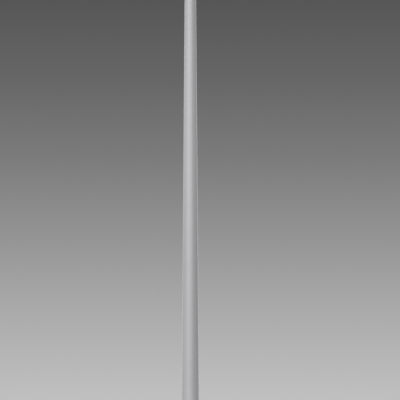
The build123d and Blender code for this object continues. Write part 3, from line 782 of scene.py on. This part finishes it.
lock_low, lock_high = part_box("hatch_lock")
lock_z = (lock_low.z + lock_high.z) / 2
forward = (0, -1, 0)
steel_dark, steel_bright = (0.48, 0.48, 0.485), (0.62, 0.62, 0.625)
lock_steel = turned_finish(
    "lock_steel", steel_dark, steel_bright, (0, 0, lock_z), forward, smooth=0.20, rough=0.36
)
nodes["hatch_lock"].material_slots[0].material = lock_steel
nodes["lock_cam"].material_slots[0].material = pickled_steel
nodes["halyard_cleat"].material_slots[0].material = cast_aluminium


keyway_reach = 0.0036  # from its middle to its rounded ends
keyway_slimness = 0.24  # its width over its length
keyway_depth = 0.006


def cut_keyway(piece, front):
    """Cuts the keyway into a piece that faces up, down from its front."""
    tool = start_piece(
        bpy.ops.mesh.primitive_cylinder_add,
        "keyway",
        vertices=32,
        radius=keyway_reach,
        depth=2 * keyway_depth,
    )
    bpy.ops.object.mode_set(mode="EDIT")
    bpy.ops.mesh.select_all(action="SELECT")
    bpy.ops.transform.resize(value=(keyway_slimness, 1, 1), center_override=(0, 0, 0))
    bpy.ops.transform.translate(value=(0, 0, front))
    bpy.ops.object.mode_set(mode="OBJECT")
    cut_with(piece, tool, "DIFFERENCE")
    bpy.ops.object.shade_smooth_by_angle(angle=radians(35))


cam_low, cam_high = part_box("lock_cam")
barrel_radius = lock_high.x
barrel_length = cam_low.y - lock_low.y
barrel_edge = 0.0007
stud_radius = 0.004
lock_barrel = start_piece(
    bpy.ops.mesh.primitive_cylinder_add,
    "lock_barrel",
    vertices=96,
    radius=barrel_radius,
    depth=barrel_length,
)
bpy.ops.object.mode_set(mode="EDIT")
pick(lock_barrel, "EDGE", lambda at: at.z > 0.499 * barrel_length)
bpy.ops.mesh.bevel(offset=barrel_edge, segments=3, affect="EDGES")
pick(lock_barrel, "FACE", lambda at: at.z < -0.499 * barrel_length)
bpy.ops.mesh.inset(thickness=barrel_radius - stud_radius)
bpy.ops.mesh.extrude_region_move(TRANSFORM_OT_translate={"value": (0, 0, cam_low.y - lock_high.y)})
bpy.ops.object.mode_set(mode="OBJECT")
cut_keyway(lock_barrel, barrel_length / 2)
fit(lock_barrel, (0, lock_low.y + barrel_length / 2, lock_z), forward, lock_steel)
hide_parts("hatch_lock")

plug_radius = 0.0058
plug_height = 0.0016  # it stands half out of the barrel's face
plug_edge = 0.0003
lock_plug = start_piece(
    bpy.ops.mesh.primitive_cylinder_add, "lock_plug", vertices=64, radius=plug_radius, depth=plug_height
)
bpy.ops.object.mode_set(mode="EDIT")
pick(lock_plug, "EDGE", lambda at: at.z > 0.499 * plug_height)
bpy.ops.mesh.bevel(offset=plug_edge, segments=3, affect="EDGES")
bpy.ops.object.mode_set(mode="OBJECT")
cut_keyway(lock_plug, plug_height / 2)
fit(lock_plug, (0, lock_low.y, lock_z), forward, lock_steel)

# ---------------------------------------------------------------------------------------------------
# Screws through the shaft. Two hold the cleat's foot from behind, at the height of the hand hole, and
# four at the shaft's head hold the ferrule. All are stainless, with low domed heads.
# ---------------------------------------------------------------------------------------------------

cleat_low, cleat_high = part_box("halyard_cleat")
cleat_z = (cleat_low.z + cleat_high.z) / 2
cleat_screw_reach = 0.023  # from the cleat's middle
cleat_screw_y = butt_radius + 0.0011  # of the heads' middle, with their feet just inside the wall
backward = (0, 1, 0)
cleat_screw = socket_head("cleat_screw", radius=0.0055, height=0.0030, dome=0.0020, socket_radius=0.0023)
fit_copies(
    cleat_screw,
    [((0, cleat_screw_y, cleat_z + side * cleat_screw_reach), backward) for side in (-1, 1)],
    pickled_steel,
)

head_radius = 0.0381  # of the shaft, at its head
screw_row = Vector((0, 0, shaft_high.z - 0.030))
screw_out = head_radius + 0.0009  # of the heads' middle, with their feet just inside the wall
ferrule_screw = socket_head(
    "ferrule_screw", radius=0.0042, height=0.0024, dome=0.0016, socket_radius=0.0018
)
screw_places = []
for quarter in range(4):
    turn = pi / 4 + quarter * pi / 2
    away = Vector((cos(turn), sin(turn), 0))
    screw_places.append((away * screw_out + screw_row, away))
fit_copies(ferrule_screw, screw_places, pickled_steel)

# ---------------------------------------------------------------------------------------------------
# Ferrule and its rings. A turned aluminium sleeve fills the shaft's head. A nylon ring on its flange
# takes the truck's weight as it turns, and a steel ring under it keeps the truck from lifting out.
# ---------------------------------------------------------------------------------------------------

axis = (0, 0, 0)
alloy_dark, alloy_bright = (0.46, 0.46, 0.47), (0.54, 0.54, 0.55)
turned_aluminium = turned_finish(
    "turned_aluminium", alloy_dark, alloy_bright, axis, up, smooth=0.28, rough=0.44
)
nodes["top_ferrule"].material_slots[0].material = turned_aluminium
mast_steel = turned_finish(
    "mast_steel", steel_dark, steel_bright, axis, up, smooth=0.22, rough=0.40
)
nodes["retaining_ring"].material_slots[0].material = mast_steel
nylon_dark, nylon_bright = (0.024, 0.024, 0.026), (0.042, 0.042, 0.044)
ring_nylon = turned_finish(
    "ring_nylon",
    nylon_dark,
    nylon_bright,
    axis,
    up,
    smooth=0.42,
    rough=0.58,
    fineness=900,
    metallic=0.0,
)
nodes["thrust_ring"].material_slots[0].material = ring_nylon

# ---------------------------------------------------------------------------------------------------
# Truck. One sand-cast aluminium head that turns on the ferrule, machined inside. A set screw in its
# boss locks the finial's stem.
# ---------------------------------------------------------------------------------------------------

nodes["truck_body"].material_slots[0].material = cast_aluminium
boss_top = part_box("truck_body")[1].z
boss_radius = 0.016
set_screw = socket_head("set_screw", radius=0.0030, height=0.0030, dome=0.0005, socket_radius=0.0016)
set_screw_place = (0, 0.0010 - boss_radius, boss_top - 0.0058)  # half a millimetre proud
fit(set_screw, set_screw_place, forward, pickled_steel)

# ---------------------------------------------------------------------------------------------------
# Sheave. A turned black nylon pulley, polished in its groove by the halyard, with a bronze bush. It
# runs on a stainless axle with a domed head, two washers and a locking nut with a nylon insert.
# ---------------------------------------------------------------------------------------------------

sheave_low, sheave_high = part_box("sheave")
sheave_middle = (sheave_low + sheave_high) / 2
sheave_radius = sheave_high.z - sheave_middle.z
sheave_nylon = turned_finish(
    "sheave_nylon",
    nylon_dark,
    nylon_bright,
    sheave_middle,
    forward,
    smooth=0.40,
    rough=0.60,
    fineness=900,
    metallic=0.0,
)

# polished past the web and under the lip, where the sheave doesn't face sideways
tree = sheave_nylon.node_tree
link = tree.links.new
shader = tree.nodes["Principled BSDF"]
matte = shader.inputs["Roughness"].links[0].from_socket
place = add_node(tree, "ShaderNodeTexCoord")
about_axle = use_group(tree, turned_rings, Centre=sheave_middle, Along=forward)
facing = add_node(tree, "ShaderNodeNewGeometry")
sideways = add_node(tree, "ShaderNodeVectorMath", operation="DOT_PRODUCT")
sideways.inputs[1].default_value = forward
either_side = add_node(tree, "ShaderNodeMath", operation="ABSOLUTE")
link(place.outputs["Object"], about_axle.inputs["Place"])
link(facing.outputs["Normal"], sideways.inputs[0])
link(sideways.outputs["Value"], either_side.inputs[0])
out = about_axle.outputs["Out"]
under_lip = ranged(tree, out, 1.0, 0.0, 0.86 * sheave_radius, 0.97 * sheave_radius)
past_web = ranged(tree, out, 0.0, 1.0, 0.60 * sheave_radius, 0.64 * sheave_radius)
off_sides = ranged(tree, either_side.outputs["Value"], 1.0, 0.0, 0.75, 0.97)
rim_only = combined(tree, "MULTIPLY", under_lip, past_web)
groove_only = combined(tree, "MULTIPLY", rim_only, off_sides)
polished = combined(tree, "SUBTRACT", matte, ranged(tree, groove_only, 0.0, 0.20))
link(polished, shader.inputs["Roughness"])
nodes["sheave"].material_slots[0].material = sheave_nylon

bronze_dark, bronze_bright = (0.40, 0.26, 0.12), (0.52, 0.36, 0.18)
bush_bronze = turned_finish(
    "bush_bronze", bronze_dark, bronze_bright, sheave_middle, forward, smooth=0.24, rough=0.40
)
nodes["sheave_bush"].material_slots[0].material = bush_bronze
axle_steel = turned_finish(
    "axle_steel", steel_dark, steel_bright, sheave_middle, forward, smooth=0.20, rough=0.38
)
for name in ("sheave_axle", "axle_washer_front", "axle_washer_back"):
    nodes[name].material_slots[0].material = axle_steel
guard_low, guard_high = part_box("rope_guard")
guard_middle = (guard_low + guard_high) / 2
guard_steel = turned_finish(
    "guard_steel", steel_dark, steel_bright, guard_middle, forward, smooth=0.20, rough=0.36
)
nodes["rope_guard"].material_slots[0].material = guard_steel


def hexagon_nut(name, across_flats, height, bore_radius, turn=0.0):
    """A nut about the Z axis on the origin, with its corners turned off at both ends."""
    corner_radius = across_flats / 2 / cos(pi / 6)
    nut = start_piece(
        bpy.ops.mesh.primitive_cylinder_add, name, vertices=6, radius=corner_radius, depth=height
    )
    bpy.ops.object.mode_set(mode="EDIT")
    bpy.ops.mesh.select_all(action="SELECT")
    bpy.ops.transform.rotate(value=turn, orient_axis="Z", center_override=(0, 0, 0))
    bpy.ops.object.mode_set(mode="OBJECT")
    blank_sides = 96
    blank = start_piece(
        bpy.ops.mesh.primitive_cylinder_add,
        "blank",
        vertices=blank_sides,
        radius=1.02 * corner_radius,
        depth=1.03 * height,
        rotation=(0, 0, pi / blank_sides),  # so that none of its edges meets a corner of the nut
    )
    bpy.ops.object.mode_set(mode="EDIT")
    pick(blank, "EDGE", lambda at: abs(at.z) > 0.5 * height)
    bpy.ops.mesh.bevel(offset=0.14 * corner_radius, segments=1, affect="EDGES")
    bpy.ops.object.mode_set(mode="OBJECT")
    cut_with(nut, blank, "INTERSECT")
    drill = start_piece(
        bpy.ops.mesh.primitive_cylinder_add, "drill", vertices=48, radius=bore_radius, depth=2 * height
    )
    cut_with(nut, drill, "DIFFERENCE")
    bpy.ops.object.shade_smooth_by_angle(angle=radians(25))
    return nut


axle_nut_low, axle_nut_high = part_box("axle_nut")
nut_flats = axle_nut_high.z - axle_nut_low.z
nut_foot, nut_head = axle_nut_low.y, axle_nut_high.y
axle_radius = 0.006
hexagon_height = 0.0072  # the rest of the nut is its round collar
collar_height = nut_head - nut_foot - hexagon_height
insert_ring, insert_cord = 0.00695, 0.0009  # the radius of the nylon ring, and of its round section
insert_flatness = 0.6
insert_depth = 0.0008
ease = 1.02  # a nut's bore over the thread in it


def on_axle(y):
    """The point of the axle's centre line at that y."""
    return (sheave_middle.x, y, sheave_middle.z)


axle_hexagon = hexagon_nut("axle_hexagon", nut_flats, hexagon_height, ease * axle_radius)
fit(axle_hexagon, on_axle(nut_foot + hexagon_height / 2), backward, pickled_steel)
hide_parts("axle_nut")
nut_collar = socket_head(
    "nut_collar", radius=0.0087, height=collar_height, dome=0.0008, socket_radius=0.0076, sides=48
)
fit(nut_collar, on_axle(nut_head - collar_height / 2), backward, pickled_steel)
nut_insert = start_piece(
    bpy.ops.mesh.primitive_torus_add,
    "nut_insert",
    major_radius=insert_ring,
    minor_radius=insert_cord,
    major_segments=64,
    minor_segments=12,
)
bpy.ops.object.mode_set(mode="EDIT")
bpy.ops.mesh.select_all(action="SELECT")
bpy.ops.transform.resize(value=(1, 1, insert_flatness), center_override=(0, 0, 0))
pick(nut_insert, "VERT", lambda at: hypot(at.x, at.y) < axle_radius + 0.0004)
bpy.ops.transform.resize(value=(0.995, 0.995, 1.3), center_override=(0, 0, 0))  # its inside bulges
bpy.ops.object.mode_set(mode="OBJECT")
bpy.ops.object.shade_smooth()
fit(nut_insert, on_axle(nut_head - insert_depth), backward, sheave_nylon)

cam_nut_height = 0.0035
cam_nut_gap = 0.0001  # from the cam
cam_nut_y = cam_high.y + cam_nut_gap + cam_nut_height / 2
cam_nut = hexagon_nut("cam_nut", across_flats=0.013, height=cam_nut_height, bore_radius=0.0041)
fit(cam_nut, (0, cam_nut_y, lock_z), backward, pickled_steel)

# ---------------------------------------------------------------------------------------------------
# Finial. A ball spun from aluminium sheet in two halves and polished, with the lathe's rings left
# faintly in it. It screws on a stainless stem, and a thin nut locks it.
# ---------------------------------------------------------------------------------------------------

ball_middle = (0, 0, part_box("ball_lower")[1].z)
ball_dark, ball_bright = (0.55, 0.55, 0.56), (0.62, 0.62, 0.63)
for name, outward in (("ball_lower", 1), ("ball_upper", -1)):
    nodes[name].material_slots[0].material = turned_finish(
        f"{name}_finish",
        ball_dark,
        ball_bright,
        ball_middle,
        up,
        smooth=0.16,
        rough=0.30,
        fineness=700,
        outward=outward,
        groove=1.2e-4,
    )
nodes["finial_stem"].material_slots[0].material = mast_steel
nodes["finial_locknut"].material_slots[0].material = pickled_steel
locknut_low, locknut_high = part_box("finial_locknut")
locknut_middle = (locknut_low + locknut_high) / 2
stem_radius = 0.00635
locknut_size = locknut_high - locknut_low
stem_nut = hexagon_nut("stem_nut", locknut_size.y, locknut_size.z, ease * stem_radius, turn=pi / 6)
fit(stem_nut, locknut_middle, up, pickled_steel)
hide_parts("finial_locknut")
